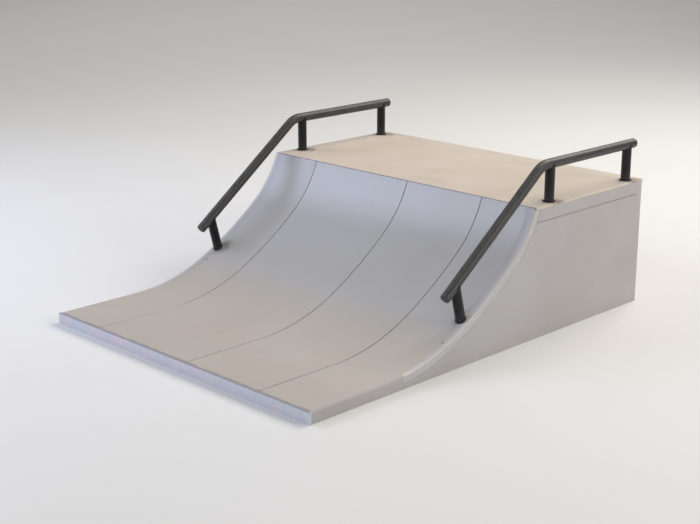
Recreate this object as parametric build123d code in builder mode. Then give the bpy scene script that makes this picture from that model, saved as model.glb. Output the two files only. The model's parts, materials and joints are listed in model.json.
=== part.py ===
"""Small quarter pipe ramp with a deck and a low tubular rail along each side.

Millimetres, +Z up, +X to the rider's right, +Y from the low front edge towards the deck.
The origin is on the ground, under the middle of the ramp.
"""
from build123d import *
from math import acos, atan2, copysign, cos, degrees, radians, sin, sqrt
import os

os.makedirs("parts", exist_ok=True)

# ---------------------------------------------------------------- driving dimensions
WIDTH = 1800
LENGTH = 2335
FRONT_HEIGHT = 56
DECK_HEIGHT = 648

# The riding surface runs flat, then climbs on three arcs, each tangent to the last.
FLAT_RUN = 460
LOW_RADIUS = 993
MIDDLE_RADIUS = 2068
TOP_RADIUS = 580
LOW_ANGLE = 27.3
MIDDLE_ANGLE = 39.4

SEAMS = (-574, 88, 576)
SEAM_GAP = 3
EDGE_BREAK = 1
JOINT_GAP = 0.5

PANEL_THICKNESS = 8
UNDERLAY_THICKNESS = 12
FRAME_DEPTH = PANEL_THICKNESS + UNDERLAY_THICKNESS
UNDERLAY_JOINT = 820

BAR_THICKNESS = 12
BAR_ROUNDING = 5
BAR_GAP = 1.5

SIDE_THICKNESS = 12
SIDE_ROUNDING = 8
SIDE_REAR_ROUNDING = 3
REAR_OVERHANG = 4

TRIM_START = 560
TRIM_FLANGE = 44
TRIM_DEPTH = 37
TRIM_ROUNDING = 8
GROOVE = 2
GROOVE_CHAMFER = 2

FASCIA_BOTTOM = 577
REAR_STILE = 48

DECK_THICKNESS = 9
SUBFLOOR_THICKNESS = 18
DECK_ROUNDING = 2.5
COPING_THICKNESS = 8
COPING_HEIGHT = 36
COPING_CLEARANCE = 5

RIB_THICKNESS = 18
LAP_CLEARANCE = 0.3
JOIST_WIDTH = 60
JOIST_DEPTH = 34
HEADER_WIDTH = 34
HEADER_DEPTH = 60
HEADER_RUN = 1487
TRANSITION_STATIONS = (60, 250, 440, 630, 820, 1013, 1290, 1560)
DECK_JOIST_RUNS = (1612, 1929, 2246)
BASE_JOIST_RUNS = (1300, 2265)

TUBE_DIAMETER = 48.3
TUBE_WALL = 3.2
RAIL_X = 855
RAIL_HEIGHT = 831
RAIL_SLOPE = 36.8
RAIL_BEND_RUN = 1547
RAIL_BEND_RADIUS = 125
RAIL_SLOPE_LENGTH = 838
RAIL_REAR_RUN = 2298
CAP_LENGTH = 8
CAP_ROUNDING = 7.5
CAP_PLUG_LENGTH = 20
CAP_PLUG_PLAY = 0.15

LOWER_POST_STATION = 1013
LOWER_POST_LEAN = 14.4
DECK_POST_RUNS = (1612, 2246)
WELD_STEP = 6
LOWER_PLATE_DIAMETER = 54
DECK_PLATE_DIAMETER = 64
PLATE_THICKNESS = 4
PLATE_CHAMFER = 1

BOLT_DIAMETER = 12
BOLT_HOLE = 13
BOLT_HEAD_FLATS = 19
BOLT_HEAD_HEIGHT = 7.5
BOLT_END = 4
NUT_HEIGHT = 10
WASHER_DIAMETER = 24
WASHER_THICKNESS = 2.5

SCREW_DIAMETER = 4
SCREW_HEAD_DIAMETER = 9
SCREW_HEAD_HEIGHT = 2.5
SCREW_LENGTH = 40
SCREW_ROWS = (80, 320, 560)

# ---------------------------------------------------------------- derived positions
HALF_WIDTH = WIDTH / 2
INNER_HALF = HALF_WIDTH - SIDE_THICKNESS
TRIM_INNER = HALF_WIDTH - TRIM_FLANGE
FRONT_Y = -LENGTH / 2
REAR_Y = LENGTH / 2
BODY_REAR_Y = REAR_Y - REAR_OVERHANG
RIB_REAR_Y = BODY_REAR_Y - SIDE_THICKNESS
SUBFLOOR_TOP = DECK_HEIGHT - DECK_THICKNESS
RIB_TOP = SUBFLOOR_TOP - SUBFLOOR_THICKNESS
COPING_BOTTOM = DECK_HEIGHT - COPING_HEIGHT
OUTER_RIB_X = INNER_HALF - RIB_THICKNESS / 2
RIB_CENTRES = (-OUTER_RIB_X, *SEAMS, OUTER_RIB_X)
TUBE_RADIUS = TUBE_DIAMETER / 2
BORE_RADIUS = TUBE_RADIUS - TUBE_WALL

# Sizes of cutting tools, well past the pieces they cut, and a tolerance for picking edges.
LONG_REACH = 400
HOLE_REACH = 200
OVERCUT = 1
TOLERANCE = 0.01

FROM_TOP = (Align.CENTER, Align.CENTER, Align.MAX)
FROM_BOTTOM = (Align.CENTER, Align.CENTER, Align.MIN)


def surface_arcs():
    """Centre, radius, first angle, first station and last station of each arc.

    An angle is the slope of the surface in degrees. A station is the distance along
    the surface from the low front edge.
    """
    arcs = []
    y = FRONT_Y + FLAT_RUN
    z = FRONT_HEIGHT
    angle = 0.0
    station = FLAT_RUN
    for radius, end_angle in (
        (LOW_RADIUS, LOW_ANGLE),
        (MIDDLE_RADIUS, MIDDLE_ANGLE),
        (TOP_RADIUS, None),
    ):
        centre_y = y - radius * sin(radians(angle))
        centre_z = z + radius * cos(radians(angle))
        if end_angle is None:
            end_angle = degrees(acos((centre_z - DECK_HEIGHT) / radius))
        end_station = station + radius * radians(end_angle - angle)
        arcs.append((centre_y, centre_z, radius, angle, station, end_station))
        y = centre_y + radius * sin(radians(end_angle))
        z = centre_z - radius * cos(radians(end_angle))
        angle = end_angle
        station = end_station
    return arcs


ARCS = surface_arcs()
_, TOP_CENTRE_Z, _, TOP_START_ANGLE, TOP_START_STATION, SURFACE_END = ARCS[-1]


def slope_at(station):
    """Slope of the surface at a station, in degrees."""
    slope = 0.0
    for _, _, radius, first_angle, first, _ in ARCS:
        if station > first:
            slope = first_angle + degrees((station - first) / radius)
    return slope


def surface_point(station, depth=0.0):
    """Y and Z of the point at a station, a depth below the surface."""
    point = (FRONT_Y + station, FRONT_HEIGHT - depth)
    slope = radians(slope_at(station))
    for centre_y, centre_z, radius, _, first, _ in ARCS:
        if station > first:
            reach = radius + depth
            point = (centre_y + reach * sin(slope), centre_z - reach * cos(slope))
    return point


def top_station(height, depth):
    """Station on the top arc where the line at a depth reaches a height."""
    slope = degrees(acos((TOP_CENTRE_Z - height) / (TOP_RADIUS + depth)))
    return TOP_START_STATION + TOP_RADIUS * radians(slope - TOP_START_ANGLE)


def surface_plane(station, depth=0.0, x=0.0):
    """Plane that touches the line at a depth, with its Z out of the ramp."""
    y, z = surface_point(station, depth)
    slope = radians(slope_at(station))
    return Plane(origin=(x, y, z), x_dir=(1, 0, 0), z_dir=(0, -sin(slope), cos(slope)))


def level_plane(y, z, x=0.0):
    """Level plane at a point."""
    return Plane(origin=(x, y, z), x_dir=(1, 0, 0), z_dir=(0, 0, 1))


COPING_Y = surface_point(SURFACE_END)[0]
DECK_FRONT_Y = COPING_Y + COPING_THICKNESS


def trace(depth, start, end):
    """Draw the line that lies a depth below the surface between two stations."""
    if start < FLAT_RUN:
        Line(
            (FRONT_Y + start, FRONT_HEIGHT - depth),
            (FRONT_Y + min(end, FLAT_RUN), FRONT_HEIGHT - depth),
        )
    for centre_y, centre_z, radius, first_angle, first, last in ARCS:
        low = max(start, first)
        high = end if first == TOP_START_STATION else min(end, last)
        if high > low:
            CenterArc(
                (centre_y, centre_z),
                radius + depth,
                first_angle + degrees((low - first) / radius) - 90,
                degrees((high - low) / radius),
            )


def layer_face(top, bottom, start, end):
    """Side profile of a layer that follows the surface between two depths."""
    with BuildSketch(Plane.YZ) as profile:
        with BuildLine():
            trace(top, start, end)
            trace(bottom, start, end)
            Line(surface_point(start, top), surface_point(start, bottom))
            Line(surface_point(end, top), surface_point(end, bottom))
        make_face()
    return profile.sketch


def across(face, x_low, x_high):
    """Side profile moved to X = x_low, and the thickness that takes it to x_high."""
    return {
        "to_extrude": Pos(x_low, 0, 0) * face,
        "amount": x_high - x_low,
        "dir": (1, 0, 0),
    }


def along_surface(edge):
    """True for an edge that runs along the top of a surface layer."""
    if edge.geom_type == GeomType.CIRCLE:
        return round(edge.radius, 3) in (LOW_RADIUS, MIDDLE_RADIUS, TOP_RADIUS)
    at_front_height = abs((edge @ 0.5).Z - FRONT_HEIGHT) < TOLERANCE
    return at_front_height and abs((edge % 0.5).Y) > 1 - TOLERANCE


def along_groove(edge):
    """True for an edge that runs along the lower side of the groove under the trim."""
    if edge.geom_type == GeomType.CIRCLE:
        radii = (LOW_RADIUS, MIDDLE_RADIUS, TOP_RADIUS)
        return round(edge.radius, 3) in [radius + TRIM_DEPTH + GROOVE for radius in radii]
    return abs((edge @ 0.5).Z - (FASCIA_BOTTOM - GROOVE)) < TOLERANCE


def at_x(x):
    """Test for an edge whose middle is at an X."""
    return lambda edge: abs((edge @ 0.5).X - x) < TOLERANCE


def remove_block(low, high):
    """Cut away the block between two corners."""
    with Locations(low):
        Box(*[b - a for a, b in zip(low, high)], align=Align.MIN, mode=Mode.SUBTRACT)


def remove_cylinders(planes, diameter):
    """Cut a long round hole along the Z of each plane."""
    with Locations(*planes):
        Cylinder(diameter / 2, HOLE_REACH, mode=Mode.SUBTRACT)


def save(builder, name):
    """Label a piece and write its STEP file."""
    builder.part.label = name
    export_step(builder.part, f"parts/{name}.step")


# Seats of the six posts: each plane is on the surface that the post stands on.
LOWER_SEATS = {
    side: surface_plane(LOWER_POST_STATION, 0, x)
    for side, x in (("left", -RAIL_X), ("right", RAIL_X))
}
PLATE_LIFT = MIDDLE_RADIUS - sqrt(MIDDLE_RADIUS**2 - (LOWER_PLATE_DIAMETER / 2) ** 2)
DECK_SEATS = {
    (side, place): level_plane(FRONT_Y + run, DECK_HEIGHT, x)
    for side, x in (("left", -RAIL_X), ("right", RAIL_X))
    for place, run in zip(("front", "rear"), DECK_POST_RUNS)
}
ALL_SEATS = [*LOWER_SEATS.values(), *DECK_SEATS.values()]


# ---------------------------------------------------------------- running surface
def cut_at_coping():
    """End a surface layer just short of the coping bar."""
    remove_block(
        (-WIDTH, COPING_Y - JOINT_GAP, 0),
        (WIDTH, COPING_Y + LONG_REACH, 2 * DECK_HEIGHT),
    )


def running_panel(x_low, x_high):
    """One lengthwise panel; an outer one is narrower beside the edge trim."""
    with BuildPart() as panel:
        face = layer_face(0, PANEL_THICKNESS, BAR_THICKNESS + BAR_GAP, SURFACE_END)
        extrude(**across(face, x_low, x_high))
        for x in (x_low, x_high):
            if abs(x) < INNER_HALF:
                seam_edges = panel.edges().filter_by(along_surface)
                chamfer(seam_edges.filter_by(at_x(x)), EDGE_BREAK)
            else:
                beside_trim = layer_face(
                    -OVERCUT, PANEL_THICKNESS + OVERCUT, TRIM_START, SURFACE_END
                )
                limits = sorted((copysign(TRIM_INNER - JOINT_GAP, x), copysign(WIDTH, x)))
                extrude(**across(beside_trim, *limits), mode=Mode.SUBTRACT)
        cut_at_coping()
        remove_cylinders(LOWER_SEATS.values(), BOLT_HOLE)
    return panel


panel_sides = [-INNER_HALF]
for seam in SEAMS:
    panel_sides += [seam - SEAM_GAP / 2, seam + SEAM_GAP / 2]
panel_sides.append(INNER_HALF)
for number in range(len(SEAMS) + 1):
    panel = running_panel(panel_sides[2 * number], panel_sides[2 * number + 1])
    save(panel, f"running_panel_{number + 1}")

for name, start, end in (
    ("underlay_lower", BAR_THICKNESS, UNDERLAY_JOINT - JOINT_GAP),
    ("underlay_upper", UNDERLAY_JOINT + JOINT_GAP, SURFACE_END),
):
    with BuildPart() as underlay:
        face = layer_face(PANEL_THICKNESS, FRAME_DEPTH, start, end)
        extrude(**across(face, -INNER_HALF, INNER_HALF))
        cut_at_coping()
        remove_cylinders(LOWER_SEATS.values(), BOLT_HOLE)
    save(underlay, name)

# ---------------------------------------------------------------- front bar and coping
with BuildPart() as front_bar:
    with Locations((0, FRONT_Y, 0)):
        Box(WIDTH, BAR_THICKNESS, FRONT_HEIGHT, align=(Align.CENTER, Align.MIN, Align.MIN))
    top_edges = front_bar.edges().filter_by(Axis.X).group_by(Axis.Z)[-1]
    fillet(top_edges.sort_by(Axis.Y)[0], BAR_ROUNDING)
save(front_bar, "front_bar")

with BuildPart() as coping_bar:
    with Locations((0, COPING_Y, COPING_BOTTOM)):
        Box(
            2 * INNER_HALF,
            COPING_THICKNESS,
            COPING_HEIGHT,
            align=(Align.CENTER, Align.MIN, Align.MIN),
        )
    top_edges = coping_bar.edges().filter_by(Axis.X).group_by(Axis.Z)[-1]
    fillet(top_edges, EDGE_BREAK)
save(coping_bar, "coping_bar")

# ---------------------------------------------------------------- deck
with BuildPart() as deck_panel:
    with Locations((0, DECK_FRONT_Y, DECK_HEIGHT)):
        Box(
            WIDTH,
            REAR_Y - DECK_FRONT_Y,
            DECK_THICKNESS,
            align=(Align.CENTER, Align.MIN, Align.MAX),
        )
    fillet(deck_panel.faces().sort_by(Axis.Z)[-1].edges(), DECK_ROUNDING)
    remove_cylinders(DECK_SEATS.values(), BOLT_HOLE)
save(deck_panel, "deck_panel")

with BuildPart() as deck_subfloor:
    with Locations((0, DECK_FRONT_Y, SUBFLOOR_TOP)):
        Box(
            2 * INNER_HALF,
            RIB_REAR_Y - DECK_FRONT_Y,
            SUBFLOOR_THICKNESS,
            align=(Align.CENTER, Align.MIN, Align.MAX),
        )
    remove_cylinders(DECK_SEATS.values(), BOLT_HOLE)
save(deck_subfloor, "deck_subfloor")

# ---------------------------------------------------------------- sides
FASCIA_REAR_Y = BODY_REAR_Y - REAR_STILE
GROOVE_DEPTH = TRIM_DEPTH + GROOVE
SIDE_TOP = FASCIA_BOTTOM - GROOVE
side_corner = top_station(SIDE_TOP, GROOVE_DEPTH)
fascia_low = top_station(FASCIA_BOTTOM, GROOVE_DEPTH)
fascia_high = top_station(SUBFLOOR_TOP, GROOVE_DEPTH)

with BuildSketch(Plane.YZ) as side_outline:
    with BuildLine():
        trace(0, BAR_THICKNESS, TRIM_START)
        Line(surface_point(TRIM_START), surface_point(TRIM_START, GROOVE_DEPTH))
        trace(GROOVE_DEPTH, TRIM_START, side_corner)
        Polyline(
            surface_point(side_corner, GROOVE_DEPTH),
            (FASCIA_REAR_Y + JOINT_GAP, SIDE_TOP),
            (FASCIA_REAR_Y + JOINT_GAP, SUBFLOOR_TOP),
            (BODY_REAR_Y, SUBFLOOR_TOP),
            (BODY_REAR_Y, 0),
            (FRONT_Y + BAR_THICKNESS, 0),
            (FRONT_Y + BAR_THICKNESS, FRONT_HEIGHT),
        )
    make_face()

with BuildSketch(Plane.YZ) as fascia_outline:
    with BuildLine():
        trace(GROOVE_DEPTH, fascia_low, fascia_high)
        Polyline(
            surface_point(fascia_low, GROOVE_DEPTH),
            (FASCIA_REAR_Y, FASCIA_BOTTOM),
            (FASCIA_REAR_Y, SUBFLOOR_TOP),
            surface_point(fascia_high, GROOVE_DEPTH),
        )
    make_face()


def edge_trim(sign):
    """Angle trim over the curved edge of one side: top flange and side flange."""
    outer = sign * HALF_WIDTH
    inner = sign * TRIM_INNER
    with BuildPart() as trim:
        start = TRIM_START + JOINT_GAP
        side_flange = layer_face(0, TRIM_DEPTH, start, SURFACE_END)
        extrude(**across(side_flange, *sorted((sign * INNER_HALF, outer))))
        top_flange = layer_face(0, PANEL_THICKNESS, start, SURFACE_END)
        extrude(**across(top_flange, *sorted((inner, outer))))
        outer_edges = trim.edges().filter_by(at_x(outer))
        fillet(outer_edges.filter_by(along_surface), TRIM_ROUNDING)
        x_low, x_high = sorted((0, sign * INNER_HALF))
        remove_block(
            (x_low, COPING_Y - JOINT_GAP, 0),
            (x_high, COPING_Y + LONG_REACH, 2 * DECK_HEIGHT),
        )
        remove_block(
            (-WIDTH, COPING_Y - JOINT_GAP, SUBFLOOR_TOP - JOINT_GAP),
            (WIDTH, COPING_Y + LONG_REACH, 2 * DECK_HEIGHT),
        )
        remove_cylinders(LOWER_SEATS.values(), BOLT_HOLE)
    return trim


for side, sign in (("left", -1), ("right", 1)):
    side_limits = sorted((sign * INNER_HALF, sign * HALF_WIDTH))
    with BuildPart() as side_panel:
        extrude(**across(side_outline.sketch, *side_limits))
        outer_edges = side_panel.edges().filter_by(at_x(sign * HALF_WIDTH))
        fillet(outer_edges.filter_by(along_surface), SIDE_ROUNDING)
        chamfer(outer_edges.filter_by(along_groove), GROOVE_CHAMFER)
        rear_edge = side_panel.edges().filter_by(Axis.Z).filter_by(at_x(sign * HALF_WIDTH))
        fillet(rear_edge.sort_by(Axis.Y)[-1], SIDE_REAR_ROUNDING)
    save(side_panel, f"{side}_side_panel")

    with BuildPart() as fascia:
        extrude(**across(fascia_outline.sketch, *side_limits))
    save(fascia, f"{side}_deck_fascia")

    save(edge_trim(sign), f"{side}_edge_trim")

# ---------------------------------------------------------------- back
SCREW_SEATS = [
    Plane(origin=(x, BODY_REAR_Y, z), x_dir=(-1, 0, 0), z_dir=(0, 1, 0))
    for x in RIB_CENTRES
    for z in SCREW_ROWS
]
SCREW_HEAD_ANGLE = 2 * degrees(atan2(SCREW_HEAD_DIAMETER / 2, SCREW_HEAD_HEIGHT))

with BuildPart() as back_panel:
    with Locations((0, BODY_REAR_Y, 0)):
        Box(
            2 * INNER_HALF,
            SIDE_THICKNESS,
            SUBFLOOR_TOP,
            align=(Align.CENTER, Align.MAX, Align.MIN),
        )
    with Locations(*SCREW_SEATS):
        CounterSinkHole(
            SCREW_DIAMETER / 2,
            SCREW_HEAD_DIAMETER / 2,
            counter_sink_angle=SCREW_HEAD_ANGLE,
        )
save(back_panel, "back_panel")

with BuildPart() as back_panel_screws:
    with Locations(*SCREW_SEATS):
        Cone(0, SCREW_HEAD_DIAMETER / 2, SCREW_HEAD_HEIGHT, align=FROM_TOP)
        Cylinder(SCREW_DIAMETER / 2, SCREW_LENGTH, align=FROM_TOP)
save(back_panel_screws, "back_panel_screws")

# ---------------------------------------------------------------- ribs and joists
TRANSITION_SEATS = [
    (surface_plane(station, FRAME_DEPTH), JOIST_WIDTH, JOIST_DEPTH)
    for station in TRANSITION_STATIONS
]
DECK_FRAME_SEATS = [
    (level_plane(FRONT_Y + HEADER_RUN, RIB_TOP), HEADER_WIDTH, HEADER_DEPTH)
] + [
    (level_plane(FRONT_Y + run, RIB_TOP), JOIST_WIDTH, JOIST_DEPTH)
    for run in DECK_JOIST_RUNS
]
BASE_SEATS = [
    (level_plane(FRONT_Y + run, JOIST_DEPTH), JOIST_WIDTH, JOIST_DEPTH)
    for run in BASE_JOIST_RUNS
]
rib_shoulder = COPING_BOTTOM - COPING_CLEARANCE
rib_corner = top_station(rib_shoulder, FRAME_DEPTH)

with BuildSketch(Plane.YZ) as rib_outline:
    with BuildLine():
        trace(FRAME_DEPTH, BAR_THICKNESS, rib_corner)
        Polyline(
            surface_point(rib_corner, FRAME_DEPTH),
            (DECK_FRONT_Y, rib_shoulder),
            (DECK_FRONT_Y, RIB_TOP),
            (RIB_REAR_Y, RIB_TOP),
            (RIB_REAR_Y, 0),
            (FRONT_Y + BAR_THICKNESS, 0),
            surface_point(BAR_THICKNESS, FRAME_DEPTH),
        )
    make_face()


RIB_NOTCHES = TRANSITION_SEATS + DECK_FRAME_SEATS
RIB_NOTCHES += [(plane.offset(-depth), width, depth) for plane, width, depth in BASE_SEATS]


def rib(x):
    """Full-length upright rib, halved where each joist crosses it."""
    with BuildPart() as piece:
        limits = (x - RIB_THICKNESS / 2, x + RIB_THICKNESS / 2)
        extrude(**across(rib_outline.sketch, *limits))
        for plane, width, depth in RIB_NOTCHES:
            with Locations(plane):
                Box(WIDTH, width + 2 * LAP_CLEARANCE, depth, mode=Mode.SUBTRACT)
        with Locations(*SCREW_SEATS):
            Cylinder(SCREW_DIAMETER / 2, SCREW_LENGTH, align=FROM_TOP, mode=Mode.SUBTRACT)
    return piece


RIB_NAMES = (
    "left_outer_rib",
    "left_inner_rib",
    "centre_rib",
    "right_inner_rib",
    "right_outer_rib",
)
for name, x in zip(RIB_NAMES, RIB_CENTRES):
    save(rib(x), name)


def lap_joist(plane, width, depth, notch_level):
    """Joist across the ramp, halved at each rib; notch_level is the notch's top."""
    with BuildPart() as joist:
        with Locations(plane):
            Box(2 * INNER_HALF, width, depth, align=FROM_TOP)
            with Locations(*[(x, 0, notch_level) for x in RIB_CENTRES]):
                Box(
                    RIB_THICKNESS + 2 * LAP_CLEARANCE,
                    2 * width,
                    depth / 2,
                    align=FROM_TOP,
                    mode=Mode.SUBTRACT,
                )
        remove_cylinders(ALL_SEATS, BOLT_HOLE)
    return joist


for number, (plane, width, depth) in enumerate(TRANSITION_SEATS, start=1):
    save(lap_joist(plane, width, depth, -depth / 2), f"transition_joist_{number}")
header, *deck_joists = DECK_FRAME_SEATS
save(lap_joist(*header, -HEADER_DEPTH / 2), "coping_header")
for number, (plane, width, depth) in enumerate(deck_joists, start=1):
    save(lap_joist(plane, width, depth, -depth / 2), f"deck_joist_{number}")
for number, (plane, width, depth) in enumerate(BASE_SEATS, start=1):
    save(lap_joist(plane, width, depth, 0), f"base_joist_{number}")

# ---------------------------------------------------------------- rails
SLOPE_COS = cos(radians(RAIL_SLOPE))
SLOPE_SIN = sin(radians(RAIL_SLOPE))


def rail_points(x):
    """Low end, bend and rear end of a rail's centre line."""
    bend_y = FRONT_Y + RAIL_BEND_RUN
    return (
        (x, bend_y - RAIL_SLOPE_LENGTH * SLOPE_COS, RAIL_HEIGHT - RAIL_SLOPE_LENGTH * SLOPE_SIN),
        (x, bend_y, RAIL_HEIGHT),
        (x, FRONT_Y + RAIL_REAR_RUN, RAIL_HEIGHT),
    )


def rail_sweep(x, bore):
    """Bent rail of round section, solid or with a bore."""
    low_end, _, _ = rail_points(x)
    with BuildPart() as rail:
        with BuildLine() as centre_line:
            FilletPolyline(*rail_points(x), radius=RAIL_BEND_RADIUS)
        start = Plane(origin=low_end, x_dir=(1, 0, 0), z_dir=centre_line.line % 0)
        with BuildSketch(start):
            Circle(TUBE_RADIUS)
            if bore:
                Circle(bore, mode=Mode.SUBTRACT)
        sweep()
    return rail


def rail_cap(end, outwards):
    """Domed plug that closes one end of a rail."""
    with BuildPart() as cap:
        with Locations(Plane(origin=end, x_dir=(1, 0, 0), z_dir=outwards)):
            Cylinder(TUBE_RADIUS, CAP_LENGTH, align=FROM_BOTTOM)
            dome_edge = cap.edges().sort_by(Axis(end, outwards))[-1]
            fillet(dome_edge, CAP_ROUNDING)
            Cylinder(BORE_RADIUS - CAP_PLUG_PLAY, CAP_PLUG_LENGTH, align=FROM_TOP)
    return cap


def post_foot(seat):
    """Plane on top of a post's base plate, and how far it is above the seat."""
    on_curve = seat.z_dir.Z < 1
    lift = PLATE_LIFT if on_curve else 0
    return seat.offset(lift + PLATE_THICKNESS), lift


def post(seat, lean, rail):
    """Tube from a base plate up to the rail, coped round the rail's underside."""
    foot, _ = post_foot(seat)
    upright = Vector(0, -sin(radians(lean)), cos(radians(lean)))
    slope = SLOPE_SIN / SLOPE_COS if lean else 0
    gap = RAIL_HEIGHT - slope * (FRONT_Y + RAIL_BEND_RUN - foot.origin.Y) - foot.origin.Z
    length = gap / (upright.Z - slope * upright.Y)
    axis_plane = Plane(origin=foot.origin, x_dir=(1, 0, 0), z_dir=upright)
    with BuildPart() as tube:
        with Locations(axis_plane.offset(-TUBE_DIAMETER)):
            height = length - WELD_STEP + TUBE_DIAMETER
            Cylinder(TUBE_RADIUS, height, align=FROM_BOTTOM)
            Cylinder(BORE_RADIUS, height, align=FROM_BOTTOM, mode=Mode.SUBTRACT)
        split(bisect_by=foot, keep=Keep.TOP)
        add(rail.part, mode=Mode.SUBTRACT)
    return tube


def base_plate(seat, diameter):
    """Round plate under a post, with the anchor bolt's hole."""
    foot, _ = post_foot(seat)
    with BuildPart() as plate:
        with Locations(foot):
            Cylinder(diameter / 2, PLATE_THICKNESS, align=FROM_TOP)
            top_edge = plate.edges().sort_by(Axis(foot.origin, foot.z_dir))[-1]
            chamfer(top_edge, PLATE_CHAMFER)
            Cylinder(BOLT_HOLE / 2, HOLE_REACH, mode=Mode.SUBTRACT)
    return plate


for side, x in (("left", -RAIL_X), ("right", RAIL_X)):
    low_end, _, rear_end = rail_points(x)
    solid_rail = rail_sweep(x, None)
    save(rail_sweep(x, BORE_RADIUS), f"{side}_rail_tube")
    save(rail_cap(low_end, (0, -SLOPE_COS, -SLOPE_SIN)), f"{side}_rail_front_cap")
    save(rail_cap(rear_end, (0, 1, 0)), f"{side}_rail_rear_cap")
    seats = (
        ("lower", LOWER_SEATS[side], LOWER_POST_LEAN, LOWER_PLATE_DIAMETER),
        ("front", DECK_SEATS[side, "front"], 0, DECK_PLATE_DIAMETER),
        ("rear", DECK_SEATS[side, "rear"], 0, DECK_PLATE_DIAMETER),
    )
    for place, seat, lean, plate_diameter in seats:
        save(post(seat, lean, solid_rail), f"{side}_{place}_post")
        save(base_plate(seat, plate_diameter), f"{side}_{place}_base_plate")

# ---------------------------------------------------------------- post fixings
LOWER_STACK = FRAME_DEPTH + JOIST_DEPTH
DECK_STACK = DECK_THICKNESS + SUBFLOOR_THICKNESS + JOIST_DEPTH
BOLT_STACKS = [(seat, LOWER_STACK) for seat in LOWER_SEATS.values()]
BOLT_STACKS += [(seat, DECK_STACK) for seat in DECK_SEATS.values()]
BOLT_RADIUS = BOLT_DIAMETER / 2
HEAD_RADIUS = BOLT_HEAD_FLATS / 2 / cos(radians(30))

with BuildPart() as anchor_bolts:
    for seat, stack in BOLT_STACKS:
        foot, lift = post_foot(seat)
        grip = PLATE_THICKNESS + lift + stack
        with BuildSketch(foot):
            RegularPolygon(HEAD_RADIUS, 6)
        extrude(amount=BOLT_HEAD_HEIGHT)
        with Locations(foot):
            shank = grip + WASHER_THICKNESS + NUT_HEIGHT + BOLT_END
            Cylinder(BOLT_RADIUS, shank, align=FROM_TOP)
save(anchor_bolts, "post_anchor_bolts")

with BuildPart() as anchor_washers:
    for seat, stack in BOLT_STACKS:
        with Locations(seat.offset(-stack)):
            Cylinder(WASHER_DIAMETER / 2, WASHER_THICKNESS, align=FROM_TOP)
            Cylinder(BOLT_HOLE / 2, 2 * WASHER_THICKNESS, mode=Mode.SUBTRACT)
save(anchor_washers, "post_anchor_washers")

with BuildPart() as anchor_nuts:
    for seat, stack in BOLT_STACKS:
        nut_top = seat.offset(-stack - WASHER_THICKNESS)
        with BuildSketch(nut_top):
            RegularPolygon(HEAD_RADIUS, 6)
            Circle(BOLT_RADIUS, mode=Mode.SUBTRACT)
        extrude(amount=-NUT_HEIGHT)
save(anchor_nuts, "post_anchor_nuts")
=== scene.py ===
"""Looks of a small quarter pipe ramp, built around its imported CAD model.

Metres, in the CAD model's frame: +Z up, +X to the rider's right, +Y towards the deck.
"""

import json
import math

import bpy
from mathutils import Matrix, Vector


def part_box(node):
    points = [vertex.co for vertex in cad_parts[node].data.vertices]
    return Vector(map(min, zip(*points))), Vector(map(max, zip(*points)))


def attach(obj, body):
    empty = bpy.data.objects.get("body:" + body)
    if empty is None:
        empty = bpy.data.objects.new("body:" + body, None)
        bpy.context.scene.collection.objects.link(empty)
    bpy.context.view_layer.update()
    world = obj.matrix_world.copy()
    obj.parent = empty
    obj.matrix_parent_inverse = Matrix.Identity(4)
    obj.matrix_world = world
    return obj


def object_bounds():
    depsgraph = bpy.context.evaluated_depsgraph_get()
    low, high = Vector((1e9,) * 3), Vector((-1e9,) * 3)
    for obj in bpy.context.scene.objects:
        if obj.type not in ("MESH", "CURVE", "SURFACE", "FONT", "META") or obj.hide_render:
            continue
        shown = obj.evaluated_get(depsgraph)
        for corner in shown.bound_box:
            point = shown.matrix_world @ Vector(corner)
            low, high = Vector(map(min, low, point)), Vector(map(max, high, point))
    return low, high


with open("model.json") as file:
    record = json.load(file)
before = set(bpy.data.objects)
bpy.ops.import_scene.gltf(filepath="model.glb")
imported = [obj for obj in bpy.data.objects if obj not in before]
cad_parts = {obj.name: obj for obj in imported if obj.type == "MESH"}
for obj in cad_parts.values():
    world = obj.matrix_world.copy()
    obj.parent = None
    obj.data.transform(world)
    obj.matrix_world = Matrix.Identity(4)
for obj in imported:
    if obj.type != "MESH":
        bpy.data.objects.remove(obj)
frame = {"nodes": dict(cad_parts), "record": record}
CAD_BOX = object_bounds()

SIDES = ("left", "right")
POST_PLACES = ("lower", "front", "rear")
MM = 0.001


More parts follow.
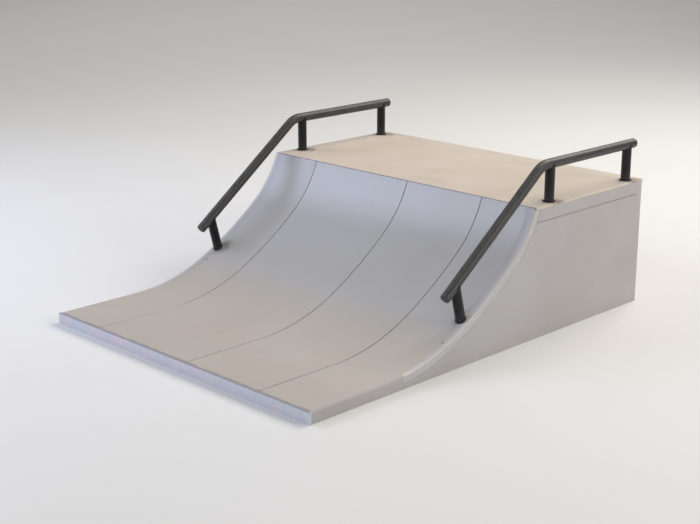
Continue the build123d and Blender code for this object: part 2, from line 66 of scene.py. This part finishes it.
# ---------------------------------------------------------------- node building
class Material:
    """One material, built from nodes; lengths in its patterns are metres."""

    def __init__(self, name):
        self.material = bpy.data.materials.new(name)
        self.material.use_nodes = True
        self.tree = self.material.node_tree
        self.tree.nodes.clear()
        self.place = self.node("ShaderNodeTexCoord").outputs["Object"]
        self.heights = []

    def node(self, kind, inputs=(), **settings):
        """Add a node; inputs maps a socket's name or number to a value or to an output."""
        made = self.tree.nodes.new(kind)
        for name, value in settings.items():
            setattr(made, name, value)
        for name, value in dict(inputs).items():
            if isinstance(value, bpy.types.NodeSocket):
                self.tree.links.new(value, made.inputs[name])
            else:
                made.inputs[name].default_value = value
        return made

    def stretched(self, scales):
        """The place, scaled along X, Y and Z, so that a pattern gets a direction."""
        return self.node(
            "ShaderNodeVectorMath", {0: self.place, 1: scales}, operation="MULTIPLY"
        ).outputs[0]

    def noise(self, scale, detail=3.0, roughness=0.55, stretch=None, distortion=0.0):
        """Noise from 0 to 1; scale is in patches per metre."""
        vector = self.stretched(stretch) if stretch else self.place
        inputs = {
            "Vector": vector,
            "Scale": scale,
            "Detail": detail,
            "Roughness": roughness,
            "Distortion": distortion,
        }
        return self.node("ShaderNodeTexNoise", inputs).outputs["Fac"]

    def part(self, vector, axis):
        """One coordinate of a vector."""
        return self.node("ShaderNodeSeparateXYZ", {0: vector}).outputs[axis]

    def facing(self, axis):
        """One coordinate of the surface's direction."""
        return self.part(self.node("ShaderNodeNewGeometry").outputs["Normal"], axis)

    def math(self, operation, first, second=0.0):
        """One arithmetic step."""
        return self.node(
            "ShaderNodeMath", {0: first, 1: second}, operation=operation
        ).outputs[0]

    def times(self, first, second):
        """Product of two values."""
        return self.math("MULTIPLY", first, second)

    def size(self, value):
        """Value without its sign."""
        return self.math("ABSOLUTE", value)

    def span(self, value, start, end, low=0.0, high=1.0):
        """Smooth change from low to high as value goes from start to end."""
        inputs = {"Value": value, 1: start, 2: end, 3: low, 4: high}
        return self.node(
            "ShaderNodeMapRange", inputs, interpolation_type="SMOOTHSTEP"
        ).outputs["Result"]

    def blend(self, amount, first, second):
        """Colour that goes from first to second."""
        made = self.node("ShaderNodeMix", data_type="RGBA")
        for socket, value in ((0, amount), (6, first), (7, second)):
            if isinstance(value, bpy.types.NodeSocket):
                self.tree.links.new(value, made.inputs[socket])
            elif socket:
                made.inputs[socket].default_value = (*value, 1.0)
            else:
                made.inputs[socket].default_value = value
        return made.outputs[2]

    def near(self, points, inner, outer):
        """1 within inner of any of the points, and 0 further than outer."""
        closest = None
        for point in points:
            gap = self.node(
                "ShaderNodeVectorMath", {0: self.place, 1: point}, operation="DISTANCE"
            ).outputs["Value"]
            closest = gap if closest is None else self.math("MINIMUM", closest, gap)
        return self.span(closest, inner, outer, 1.0, 0.0)

    def relief(self, height, depth):
        """Raise the surface by a pattern from 0 to 1 that is depth high."""
        self.heights.append((height, depth))

    def finish(self, colour, roughness, **constants):
        """Connect the shader; constants are set on its own sockets."""
        shader = self.node("ShaderNodeBsdfPrincipled")
        for name, value in constants.items():
            shader.inputs[name.replace("_", " ")].default_value = value
        for name, value in (("Base Color", colour), ("Roughness", roughness)):
            self.tree.links.new(value, shader.inputs[name])
        normal = None
        for height, depth in self.heights:
            inputs = {"Height": height, "Distance": depth, "Strength": 1.0}
            if normal is not None:
                inputs["Normal"] = normal
            normal = self.node("ShaderNodeBump", inputs).outputs["Normal"]
        if normal is not None:
            self.tree.links.new(normal, shader.inputs["Normal"])
        output = self.node("ShaderNodeOutputMaterial")
        self.tree.links.new(shader.outputs["BSDF"], output.inputs["Surface"])
        return self.material


def srgb(red, green, blue):
    """Linear colour of an sRGB colour given from 0 to 255."""
    channels = (red / 255, green / 255, blue / 255)
    return tuple(
        c / 12.92 if c <= 0.04045 else ((c + 0.055) / 1.055) ** 2.4 for c in channels
    )


# ---------------------------------------------------------------- colours
# Two on one line are shades that a cloud or a grain mixes.
DECK_DARK, DECK_LIGHT = srgb(215, 202, 185), srgb(220, 207, 191)
DECK_SPECKLE = srgb(170, 158, 143)
DECK_SCUFF = srgb(182, 170, 158)
DECK_PALE_EDGE = srgb(226, 208, 198)
FEET_GRIME_AND_SHADOW = srgb(96, 88, 84)
# Dark grime, also used as painted shade in the seams and gaps.
DARK_DIRT_AND_SHADE = srgb(70, 65, 62)

RUN_DARK, RUN_LIGHT = srgb(196, 187, 175), srgb(200, 192, 181)
SLOPE_SHEEN_DARK, SLOPE_SHEEN_LIGHT = srgb(187, 185, 182), srgb(191, 190, 188)
WHEEL_LINE = srgb(140, 140, 146)
PALE_LINE = srgb(222, 222, 226)
RUN_SPECKLE = srgb(150, 150, 152)
FRONT_DIRT_AND_SHADE = srgb(120, 114, 116)

ZINC_BLUE, ZINC_PINK = srgb(206, 213, 224), srgb(220, 210, 222)
ZINC_CRYSTAL = srgb(188, 190, 202)
ZINC_SPECK = srgb(180, 182, 192)
ZINC_STAIN = srgb(196, 186, 184)
ZINC_DUSTY_SHADED_TOP = srgb(148, 142, 142)
COPING_DARK, COPING_LIGHT = srgb(138, 132, 148), srgb(176, 170, 186)
COPING_STAIN = srgb(118, 108, 112)
PLATING_DARK, PLATING_LIGHT = srgb(176, 178, 182), srgb(214, 216, 220)

SIDE_DARK, SIDE_LIGHT = srgb(180, 176, 175), srgb(187, 184, 183)
SIDE_GRAIN = srgb(158, 152, 147)
SIDE_SPLASH = srgb(150, 142, 134)
SIDE_SEAM_DIRT_AND_SHADE = srgb(126, 120, 112)
TRIM_PAINTED_HIGHLIGHT = srgb(208, 203, 202)
TRIM_SIDE_DARK, TRIM_SIDE_LIGHT = srgb(185, 182, 180), srgb(191, 188, 187)
TRIM_RUBBED = srgb(228, 224, 222)
TRIM_GRAIN = srgb(150, 144, 142)

RAIL_DARK, RAIL_LIGHT = srgb(51, 50, 49), srgb(65, 64, 63)
RAIL_DUST_AND_TOP_LIGHT = srgb(142, 139, 131)
RAIL_RUBBED = srgb(150, 150, 150)
POST_DARK, POST_LIGHT = srgb(14, 15, 18), srgb(22, 23, 27)
POST_DUST = srgb(110, 100, 94)
CAP_DARK, CAP_LIGHT = srgb(58, 58, 59), srgb(80, 80, 80)
CAP_GRAIN = srgb(104, 104, 103)

PLY_DARK, PLY_LIGHT = srgb(196, 164, 122), srgb(226, 201, 162)
PLY_FLECK = srgb(160, 124, 84)
PLY_EDGE = srgb(140, 104, 68)
TIMBER_LIGHT, TIMBER_RING = srgb(214, 178, 126), srgb(184, 138, 84)
TIMBER_FIBRE = srgb(150, 108, 64)
FLOOR_DARK, FLOOR_LIGHT = srgb(231, 230, 227), srgb(235, 234, 231)


# ---------------------------------------------------------------- places on the ramp
def plate_centre(side, place):
    """Middle of a post's base plate."""
    low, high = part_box(f"{side}_{place}_base_plate")
    return (low + high) / 2


SEAMS = [
    (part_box(f"running_panel_{number}")[1].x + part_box(f"running_panel_{number + 1}")[0].x) / 2
    for number in (1, 2, 3)
]
PANEL_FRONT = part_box("running_panel_1")[0].y
DECK_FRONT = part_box("deck_panel")[0].y
FASCIA_LOW, FASCIA_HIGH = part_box("right_deck_fascia")
TRIM_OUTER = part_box("right_edge_trim")[1].x
# Small dark scuffs on the surface beside the right and the left rail.
SCUFFS = [Vector((871, -321, 134)) * MM, Vector((-848, -269, 158)) * MM]
FEET = [plate_centre(side, place) for side in SIDES for place in POST_PLACES]
# Grime and a painted contact shadow lie this far behind and to the right of each foot.
SMEAR_OFFSET = Vector((16, 14, 0)) * MM
SMEARS = [foot + SMEAR_OFFSET for foot in FEET]


# ---------------------------------------------------------------- shared patterns
def feet_grime_and_shadow(m, colour, strength):
    """Add dark grime and a painted contact shadow behind and to the right of the post feet."""
    patchy = m.span(m.noise(48.0, 5.0, 0.65), 0.30, 0.62, 0.25, 1.0)
    reach = m.times(m.near(SMEARS, 26 * MM, 76 * MM), patchy)
    return m.blend(m.times(reach, strength), colour, FEET_GRIME_AND_SHADOW)


def add_scuffs(m, colour):
    """Darken the surface at each scuff."""
    return m.blend(m.times(m.near(SCUFFS, 3 * MM, 11 * MM), 0.5), colour, DARK_DIRT_AND_SHADE)


def near_seams(m, inner, outer):
    """1 within inner of a seam of the riding surface, and 0 further than outer."""
    across = m.part(m.place, "X")
    gaps = [m.size(m.math("SUBTRACT", across, seam)) for seam in SEAMS]
    closest = m.math("MINIMUM", m.math("MINIMUM", gaps[0], gaps[1]), gaps[2])
    return m.span(closest, inner, outer, 1.0, 0.0)


def run_colour_and_sheen(m):
    """Grey of the riding surface: warmer and dusty where it is level, with a painted cool sheen
    on the slope.
    """
    cloud = m.span(m.noise(1.6, 3.0), 0.32, 0.7)
    dusty = m.blend(cloud, RUN_DARK, RUN_LIGHT)
    # On the slope the grey is a painted cool sheen.
    cool_sheen = m.blend(cloud, SLOPE_SHEEN_DARK, SLOPE_SHEEN_LIGHT)
    return m.blend(m.span(m.facing("Z"), 0.84, 0.98), cool_sheen, dusty)


def on_side(m):
    """1 on the outer side faces as far back as the deck fascia, and 0 elsewhere."""
    outwards = m.span(m.size(m.facing("X")), 0.8, 0.95)
    along = m.part(m.place, "Y")
    ahead = m.span(along, FASCIA_HIGH.y - 3.5 * MM, FASCIA_HIGH.y + 2.5 * MM, 1.0, 0.0)
    return m.times(outwards, ahead)


# ---------------------------------------------------------------- materials
def deck_board():
    """Sand-coloured matt laminate with faint clouding, scuffs, and grime and painted contact
    shadow round the posts.
    """
    m = Material("deck_board")
    cloud = m.span(m.noise(2.4, 4.0), 0.35, 0.68)
    colour = m.blend(cloud, DECK_DARK, DECK_LIGHT)
    speckle = m.noise(420.0, 2.0)
    colour = m.blend(m.span(speckle, 0.3, 0.75, 0.0, 0.10), colour, DECK_SPECKLE)
    scuffs = m.noise(1.0, 5.0, 0.6, stretch=(7.0, 90.0, 7.0), distortion=0.6)
    scuffed = m.span(scuffs, 0.64, 0.78)
    colour = m.blend(m.times(scuffed, 0.22), colour, DECK_SCUFF)
    # A paler band along the front edge.
    along = m.part(m.place, "Y")
    pale_front_edge = m.span(along, DECK_FRONT + 3 * MM, DECK_FRONT + 9 * MM, 1.0, 0.0)
    colour = m.blend(m.times(pale_front_edge, 0.6), colour, DECK_PALE_EDGE)
    # Grime and a painted contact shadow behind the post feet.
    colour = feet_grime_and_shadow(m, colour, 0.75)
    m.relief(speckle, 0.12 * MM)
    m.relief(m.noise(60.0, 3.0), 0.25 * MM)
    rough = m.span(m.noise(9.0, 4.0), 0.3, 0.7, 0.46, 0.60)
    return m.finish(colour, rough, Specular_IOR_Level=0.4)


def running_board():
    """Satin grey laminate, dusty where it is level, with faint wheel lines down the ramp, a
    painted cool sheen on the slope, and grime and painted shade at the seams and joints.
    """
    m = Material("running_board")
    colour = run_colour_and_sheen(m)
    lines = m.noise(1.0, 4.0, 0.6, stretch=(95.0, 0.9, 0.9))
    colour = m.blend(m.span(lines, 0.56, 0.80, 0.0, 0.16), colour, WHEEL_LINE)
    pale = m.noise(1.0, 3.0, 0.5, stretch=(160.0, 1.6, 1.6), distortion=0.3)
    colour = m.blend(m.span(pale, 0.62, 0.8, 0.0, 0.14), colour, PALE_LINE)
    speckle = m.noise(520.0, 2.0)
    colour = m.blend(m.span(speckle, 0.3, 0.75, 0.0, 0.07), colour, RUN_SPECKLE)
    # Grime and a painted contact shadow behind the post feet.
    colour = feet_grime_and_shadow(m, colour, 0.7)
    # Grime and painted shade along the seams where the surface is level.
    level = m.span(m.facing("Z"), 0.90, 0.99)
    seam_dirt_and_shade = m.times(near_seams(m, 2 * MM, 6 * MM), level)
    colour = m.blend(m.times(seam_dirt_and_shade, 0.55), colour, DARK_DIRT_AND_SHADE)
    # Grime and painted shade along the joint behind the front strip.
    front_dirt_and_shade = m.times(
        m.span(m.part(m.place, "Y"), PANEL_FRONT + 4 * MM, PANEL_FRONT + 14 * MM, 1.0, 0.0),
        m.span(m.noise(26.0, 4.0, 0.6), 0.38, 0.60, 0.25, 1.0),
    )
    colour = m.blend(m.times(front_dirt_and_shade, 0.45), colour, FRONT_DIRT_AND_SHADE)
    colour = add_scuffs(m, colour)
    # Painted shade on the sideways faces of the panels, in the seams and the gaps.
    painted_gap_shade = m.span(m.size(m.facing("X")), 0.80, 0.96)
    colour = m.blend(painted_gap_shade, colour, DARK_DIRT_AND_SHADE)
    m.relief(speckle, 0.08 * MM)
    m.relief(lines, 0.06 * MM)
    rough = m.span(lines, 0.35, 0.75, 0.34, 0.44)
    return m.finish(colour, rough, Specular_IOR_Level=1.0)


def galvanised_steel():
    """Hot-dip galvanised strip: cool grey spangle with bright and dull crystals."""
    m = Material("galvanised_steel")
    crystals = m.node("ShaderNodeTexVoronoi", {"Vector": m.place, "Scale": 62.0})
    tone = m.part(crystals.outputs["Color"], "X")
    patch = m.span(m.noise(8.0, 3.0), 0.36, 0.64)
    colour = m.blend(patch, ZINC_BLUE, ZINC_PINK)
    colour = m.blend(m.times(tone, 0.28), colour, ZINC_CRYSTAL)
    specks = m.span(m.noise(300.0, 2.0), 0.60, 0.72)
    colour = m.blend(m.times(specks, 0.3), colour, ZINC_SPECK)
    stain = m.span(m.noise(5.0, 5.0, 0.65), 0.58, 0.74, 0.0, 0.35)
    colour = m.blend(stain, colour, ZINC_STAIN)
    # A dusty layer and painted shade on the faces that look up.
    upward = m.span(m.facing("Z"), 0.15, 0.70)
    colour = m.blend(m.times(upward, 0.75), colour, ZINC_DUSTY_SHADED_TOP)
    m.relief(crystals.outputs["Distance"], 0.05 * MM)
    m.relief(m.noise(240.0, 3.0), 0.06 * MM)
    rough = m.span(m.part(crystals.outputs["Color"], "Y"), 0.0, 1.0, 0.40, 0.54)
    rough = m.math("MAXIMUM", rough, m.span(upward, 0.0, 1.0, 0.40, 0.75))
    return m.finish(colour, rough, Metallic=0.25, Specular_IOR_Level=0.4)


def coping_steel():
    """Dull dark steel edge, rubbed brighter in fine lines along its length."""
    m = Material("coping_steel")
    rubs = m.noise(1.0, 5.0, 0.65, stretch=(2.5, 420.0, 420.0))
    colour = m.blend(m.span(rubs, 0.42, 0.72), COPING_DARK, COPING_LIGHT)
    colour = m.blend(m.span(m.noise(30.0, 4.0), 0.55, 0.75, 0.0, 0.4), colour, COPING_STAIN)
    m.relief(rubs, 0.06 * MM)
    rough = m.span(rubs, 0.35, 0.75, 0.50, 0.32)
    return m.finish(colour, rough, Metallic=0.75)


def side_board():
    """Plywood under warm grey matt paint: faint grain, uneven coat, grime at the ground."""
    m = Material("side_board")
    colour = m.blend(m.span(m.noise(1.9, 3.0), 0.3, 0.7), SIDE_DARK, SIDE_LIGHT)
    grain = m.noise(1.0, 5.0, 0.62, stretch=(40.0, 5.0, 150.0), distortion=0.4)
    colour = m.blend(m.span(grain, 0.50, 0.75, 0.0, 0.07), colour, SIDE_GRAIN)
    height = m.part(m.place, "Z")
    splashes = m.span(m.noise(26.0, 5.0, 0.65), 0.35, 0.65)
    ground = m.times(m.span(height, 8 * MM, 75 * MM, 1.0, 0.0), splashes)
    colour = m.blend(m.times(ground, 0.14), colour, SIDE_SPLASH)
    # Grime and painted shade along the seam at the foot of the deck fascia.
    from_seam = m.size(m.math("SUBTRACT", height, FASCIA_LOW.z - MM))
    fascia_dirt_and_shade = m.times(m.span(from_seam, MM, 9 * MM, 1.0, 0.0), on_side(m))
    colour = m.blend(m.times(fascia_dirt_and_shade, 0.28), colour, SIDE_SEAM_DIRT_AND_SHADE)
    roller = m.noise(340.0, 3.0)
    m.relief(grain, 0.22 * MM)
    m.relief(roller, 0.10 * MM)
    rough = m.span(m.noise(14.0, 4.0), 0.3, 0.7, 0.50, 0.64)
    return m.finish(colour, rough, Specular_IOR_Level=0.35)


def edge_trim():
    """Satin moulding over the curved edges, with a painted highlight and rubbed wear along its
    outer corner.
    """
    m = Material("edge_trim")
    cloud = m.span(m.noise(1.6, 3.0), 0.32, 0.7)
    # The top takes the riding surface's grey, with its painted cool sheen.
    top = run_colour_and_sheen(m)
    side = m.blend(cloud, TRIM_SIDE_DARK, TRIM_SIDE_LIGHT)
    corner = m.size(m.part(m.place, "X"))
    # Painted highlight along the rounded outer corner.
    pale = m.span(corner, TRIM_OUTER - 26 * MM, TRIM_OUTER - 14 * MM)
    colour = m.blend(pale, top, TRIM_PAINTED_HIGHLIGHT)
    sideways = m.size(m.facing("X"))
    colour = m.blend(m.span(sideways, 0.80, 0.98), colour, side)
    rub = m.times(
        m.span(corner, TRIM_OUTER - 9 * MM, TRIM_OUTER - 3 * MM),
        m.span(m.noise(1.0, 5.0, 0.65, stretch=(8.0, 22.0, 22.0)), 0.40, 0.64),
    )
    colour = m.blend(m.times(rub, 0.16), colour, TRIM_RUBBED)
    grain = m.noise(640.0, 2.0)
    colour = m.blend(m.span(grain, 0.3, 0.7, 0.0, 0.06), colour, TRIM_GRAIN)
    colour = add_scuffs(m, colour)
    m.relief(grain, 0.08 * MM)
    rough = m.span(m.noise(20.0, 4.0), 0.3, 0.7, 0.36, 0.46)
    return m.finish(colour, rough, Specular_IOR_Level=0.8)


def rail_paint():
    """Dark grey powder coat, dusty and painted lighter on top, and rubbed along the sliding
    line.
    """
    m = Material("rail_paint")
    streaks = m.noise(1.0, 5.0, 0.62, stretch=(150.0, 9.0, 9.0))
    colour = m.blend(m.span(streaks, 0.32, 0.70), RAIL_DARK, RAIL_LIGHT)
    upward = m.facing("Z")
    # Dusty, and painted lighter, on the top of the rail.
    dust_and_top_light = m.times(
        m.span(upward, 0.40, 1.0), m.span(m.noise(35.0, 5.0), 0.30, 0.66, 0.3, 1.0)
    )
    colour = m.blend(m.times(dust_and_top_light, 0.34), colour, RAIL_DUST_AND_TOP_LIGHT)
    rub = m.times(
        m.span(upward, 0.80, 0.98),
        m.span(m.noise(1.0, 6.0, 0.7, stretch=(420.0, 7.0, 7.0)), 0.58, 0.66),
    )
    colour = m.blend(m.times(rub, 0.30), colour, RAIL_RUBBED)
    m.relief(m.noise(780.0, 2.0), 0.10 * MM)
    m.relief(m.noise(120.0, 2.0), 0.10 * MM)
    rough = m.span(streaks, 0.3, 0.7, 0.38, 0.52)
    return m.finish(colour, rough, Specular_IOR_Level=0.5)


def post_paint():
    """Black satin paint, softly streaked, dusty near the feet."""
    m = Material("post_paint")
    streaks = m.noise(1.0, 4.0, 0.6, stretch=(120.0, 120.0, 14.0))
    colour = m.blend(m.span(streaks, 0.35, 0.68), POST_DARK, POST_LIGHT)
    patchy = m.span(m.noise(80.0, 5.0, 0.65), 0.38, 0.62)
    foot = m.times(m.near(FEET, 18 * MM, 70 * MM), patchy)
    colour = m.blend(m.times(foot, 0.22), colour, POST_DUST)
    m.relief(m.noise(780.0, 2.0), 0.10 * MM)
    rough = m.span(streaks, 0.3, 0.7, 0.20, 0.32)
    return m.finish(colour, rough, Specular_IOR_Level=0.34)


def cap_plastic():
    """Dark grey moulded plastic with a fine spark-eroded grain."""
    m = Material("cap_plastic")
    grain = m.noise(1500.0, 2.0)
    colour = m.blend(m.span(m.noise(70.0, 4.0), 0.3, 0.7), CAP_DARK, CAP_LIGHT)
    colour = m.blend(m.span(grain, 0.4, 0.75, 0.0, 0.25), colour, CAP_GRAIN)
    m.relief(grain, 0.08 * MM)
    rough = m.span(m.noise(120.0, 3.0), 0.3, 0.7, 0.46, 0.60)
    return m.finish(colour, rough, Specular_IOR_Level=0.4)


def plywood():
    """Birch plywood: long soft grain, thin plies off the side faces, and painted shade under the
    seams and the front joint.
    """
    m = Material("plywood")
    grain = m.noise(1.0, 5.0, 0.62, stretch=(60.0, 3.0, 60.0), distortion=0.8)
    colour = m.blend(m.span(grain, 0.32, 0.70), PLY_DARK, PLY_LIGHT)
    flecks = m.span(m.noise(1.0, 3.0, 0.6, stretch=(300.0, 22.0, 300.0)), 0.62, 0.74)
    colour = m.blend(m.times(flecks, 0.4), colour, PLY_FLECK)
    plies = m.node(
        "ShaderNodeTexWave",
        {"Vector": m.place, "Scale": 110.0, "Distortion": 0.6, "Detail": 2.0},
        wave_type="BANDS",
        bands_direction="X",
    ).outputs["Fac"]
    edge = m.span(m.size(m.facing("X")), 0.3, 0.6, 1.0, 0.0)
    dark_ply = m.times(m.span(plies, 0.35, 0.65), edge)
    colour = m.blend(m.times(dark_ply, 0.55), colour, PLY_EDGE)
    # Painted shade under the seams and under the joint behind the front strip.
    colour = m.blend(near_seams(m, 2 * MM, 5 * MM), colour, DARK_DIRT_AND_SHADE)
    shade_under_front = m.span(m.part(m.place, "Y"), PANEL_FRONT, PANEL_FRONT + 4 * MM, 1.0, 0.0)
    colour = m.blend(shade_under_front, colour, DARK_DIRT_AND_SHADE)
    m.relief(grain, 0.20 * MM)
    rough = m.span(grain, 0.3, 0.7, 0.62, 0.76)
    return m.finish(colour, rough, Specular_IOR_Level=0.3)


def timber():
    """Planed softwood with growth rings along its length."""
    m = Material("timber")
    rings = m.node(
        "ShaderNodeTexWave",
        {
            "Vector": m.stretched((0.6, 14.0, 14.0)),
            "Scale": 1.4,
            "Distortion": 5.0,
            "Detail": 3.0,
            "Detail Scale": 1.2,
        },
        wave_type="RINGS",
        rings_direction="X",
    ).outputs["Fac"]
    colour = m.blend(m.span(rings, 0.2, 0.85), TIMBER_LIGHT, TIMBER_RING)
    fibre = m.noise(1.0, 4.0, 0.6, stretch=(6.0, 260.0, 260.0))
    colour = m.blend(m.span(fibre, 0.5, 0.75, 0.0, 0.3), colour, TIMBER_FIBRE)
    m.relief(fibre, 0.15 * MM)
    rough = m.span(fibre, 0.3, 0.7, 0.58, 0.74)
    return m.finish(colour, rough, Specular_IOR_Level=0.3)


def zinc():
    """Zinc-plated fixings: bright grey with dull blooms."""
    m = Material("zinc")
    bloom = m.noise(260.0, 4.0, 0.6)
    colour = m.blend(m.span(bloom, 0.35, 0.68), PLATING_DARK, PLATING_LIGHT)
    m.relief(bloom, 0.03 * MM)
    rough = m.span(bloom, 0.3, 0.7, 0.28, 0.46)
    return m.finish(colour, rough, Metallic=0.9)


MATERIALS = {
    maker.__name__: maker()
    for maker in (
        deck_board,
        running_board,
        galvanised_steel,
        coping_steel,
        side_board,
        edge_trim,
        plywood,
        timber,
        rail_paint,
        post_paint,
        cap_plastic,
        zinc,
    )
}
SHARP_ANGLE = math.radians(28)

for part in frame["record"]["subparts"]:
    piece = frame["nodes"][part["node"]]
    for holder in piece.material_slots:
        holder.material = MATERIALS[part["material_slot"]]
    piece.data.shade_smooth()
    piece.data.set_sharp_from_angle(angle=SHARP_ANGLE)


# ---------------------------------------------------------------- weld beads
# Tube, plate and slopes are those of the CAD model.
TUBE_RADIUS = 24.15 * MM
PLATE_THICKNESS = 4 * MM
RAIL_BEND = Vector((0, 379.5 * MM, 831 * MM))
RAIL_SLOPE = math.radians(36.8)
LOWER_POST_LEAN = math.radians(14.4)
LOWER_SEAT_SLOPE = math.radians(29.5)

BEAD_RADIUS = 2.4 * MM
BEAD_STEPS = 288
BEAD_SIDES = 10
BEAD_RIPPLES = 44
RIPPLE_SHARE = 0.16


def bead(name, ring, axis, slot):
    """Rippled weld bead along a closed ring of points round a post's axis."""
    centre = sum(ring, Vector()) / len(ring)
    vertices = []
    for number, point in enumerate(ring):
        turn = 2 * math.pi * number / len(ring)
        radius = BEAD_RADIUS * (1 + RIPPLE_SHARE * math.sin(BEAD_RIPPLES * turn))
        offset = point - centre
        outwards = (offset - axis * offset.dot(axis)).normalized()
        for side in range(BEAD_SIDES):
            angle = 2 * math.pi * side / BEAD_SIDES
            spoke = outwards * math.cos(angle) + axis * math.sin(angle)
            vertices.append(point + spoke * radius)
    faces = []
    for number in range(len(ring)):
        after = (number + 1) % len(ring)
        for side in range(BEAD_SIDES):
            beside = (side + 1) % BEAD_SIDES
            faces.append(
                (
                    number * BEAD_SIDES + side,
                    after * BEAD_SIDES + side,
                    after * BEAD_SIDES + beside,
                    number * BEAD_SIDES + beside,
                )
            )
    mesh = bpy.data.meshes.new(name)
    mesh.from_pydata(vertices, [], faces)
    mesh.materials.append(MATERIALS[slot])
    mesh.shade_smooth()
    welded = bpy.data.objects.new(name, mesh)
    bpy.context.scene.collection.objects.link(welded)
    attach(welded, "root")


def weld_post(side, place):
    """Beads where a post meets its base plate and where it meets the rail."""
    angles = (0.0, 0.0, 0.0)
    if place == "lower":
        angles = (LOWER_POST_LEAN, LOWER_SEAT_SLOPE, RAIL_SLOPE)
    axis, plate_up, rail_up = [
        Vector((0, -math.sin(angle), math.cos(angle))) for angle in angles
    ]
    across = Vector((1, 0, 0))
    along = axis.cross(across)
    foot = plate_centre(side, place) + plate_up * (PLATE_THICKNESS / 2)
    plate_ring = []
    rail_ring = []
    for step in range(BEAD_STEPS):
        turn = 2 * math.pi * step / BEAD_STEPS
        spoke = (across * math.cos(turn) + along * math.sin(turn)) * TUBE_RADIUS
        start = foot + spoke
        plate_ring.append(start - axis * ((start - foot).dot(plate_up) / axis.dot(plate_up)))
        reach = -TUBE_RADIUS * abs(math.sin(turn)) - (start - RAIL_BEND).dot(rail_up)
        rail_ring.append(start + axis * (reach / axis.dot(rail_up)))
    bead(f"{side}_{place}_foot_weld", plate_ring, axis, "post_paint")
    bead(f"{side}_{place}_rail_weld", rail_ring, axis, "post_paint")


for side in SIDES:
    for place in POST_PLACES:
        weld_post(side, place)


# ---------------------------------------------------------------- stage
CENTRE = (CAD_BOX[0] + CAD_BOX[1]) / 2
FLOOR_REACH = 30.0

# Name, azimuth and elevation in degrees, distance and size in metres, watts, colour.
LIGHTS = (
    ("top_light", (170, 48), 8.0, (5.0, 5.0), 403, (1.0, 0.945, 0.885)),
    ("front_light", (-52, 29), 5.5, (4.4, 3.0), 134, (0.63, 0.72, 1.0)),
    ("side_light", (105, 22), 8.0, (3.0, 3.0), 150, (1.0, 0.985, 0.985)),
    ("low_light", (-4, 9), 7.5, (2.4, 1.2), 60, (1.0, 0.985, 1.0)),
)
FLOOR_LIGHT_AZIMUTHS = (45, 135, 225, 315)
FLOOR_LIGHT_ELEVATION = 28
FLOOR_LIGHT_DISTANCE = 17.0
FLOOR_LIGHT_TARGET_DISTANCE = 15.0
FLOOR_LIGHT_SIZE = (14.0, 14.0)
FLOOR_LIGHT_POWER = 470
WHITE = (1.0, 1.0, 1.0)
WORLD_COLOUR = (1.0, 0.98, 0.95, 1.0)
WORLD_STRENGTH = 0.16

CAMERA_LENS = 70.2
SENSOR_WIDTH = 36.0
VIEW_AZIMUTH = 45.01
VIEW_ELEVATION = 16.36
VIEW_DISTANCE = 6.815
VIEW_TARGET = Vector((0.0139, -0.0487, 0.2752))
CLIP_END = 200.0


def make_floor():
    """Plain pale floor."""
    m = Material("floor")
    colour = m.blend(m.noise(0.8, 2.0), FLOOR_DARK, FLOOR_LIGHT)
    rough = m.span(m.noise(3.0, 2.0), 0.3, 0.7, 0.72, 0.80)
    mesh = bpy.data.meshes.new("floor")
    corners = [
        (x * FLOOR_REACH, y * FLOOR_REACH, CAD_BOX[0].z)
        for x, y in ((-1, -1), (1, -1), (1, 1), (-1, 1))
    ]
    mesh.from_pydata(corners, [], [(0, 1, 2, 3)])
    mesh.materials.append(m.finish(colour, rough, Specular_IOR_Level=0.0))
    floor = bpy.data.objects.new("floor", mesh)
    bpy.context.scene.collection.objects.link(floor)


def direction(azimuth, elevation):
    """Unit vector to a place round the ramp; azimuth 0 is in front and 90 on the right."""
    a = math.radians(azimuth)
    e = math.radians(elevation)
    return Vector((math.sin(a) * math.cos(e), -math.cos(a) * math.cos(e), math.sin(e)))


def aim(thing, target):
    """Point a light or a camera at a target."""
    thing.rotation_mode = "QUATERNION"
    thing.rotation_quaternion = (target - thing.location).to_track_quat("-Z", "Y")


def area_light(name, place, distance, size, power, colour, target=CENTRE):
    """Soft light that points at a target; place is an azimuth and an elevation."""
    data = bpy.data.lights.new(name, "AREA")
    data.shape = "RECTANGLE"
    data.size, data.size_y = size
    data.energy = power
    data.color = colour
    light = bpy.data.objects.new(name, data)
    light.location = CENTRE + direction(*place) * distance
    bpy.context.scene.collection.objects.link(light)
    aim(light, target)
    return light


def make_lights():
    """Warm light from behind, cool light from the front, and an even light on the floor."""
    for settings in LIGHTS:
        area_light(*settings)
    for azimuth in FLOOR_LIGHT_AZIMUTHS:
        light = area_light(
            f"floor_light_{azimuth}",
            (azimuth, FLOOR_LIGHT_ELEVATION),
            FLOOR_LIGHT_DISTANCE,
            FLOOR_LIGHT_SIZE,
            FLOOR_LIGHT_POWER,
            WHITE,
            direction(azimuth, 0) * FLOOR_LIGHT_TARGET_DISTANCE,
        )
        light.visible_glossy = False
    world = bpy.data.worlds.new("studio")
    world.use_nodes = True
    background = world.node_tree.nodes["Background"]
    background.inputs["Color"].default_value = WORLD_COLOUR
    background.inputs["Strength"].default_value = WORLD_STRENGTH
    bpy.context.scene.world = world


def make_camera():
    """Camera at the right front, looking down at the ramp."""
    data = bpy.data.cameras.new("camera")
    data.lens = CAMERA_LENS
    data.sensor_width = SENSOR_WIDTH
    data.clip_end = CLIP_END
    camera = bpy.data.objects.new("camera", data)
    camera.location = VIEW_TARGET + direction(VIEW_AZIMUTH, VIEW_ELEVATION) * VIEW_DISTANCE
    bpy.context.scene.collection.objects.link(camera)
    aim(camera, VIEW_TARGET)
    bpy.context.scene.camera = camera


make_floor()
make_lights()
make_camera()
bpy.context.scene.view_settings.view_transform = "Standard"
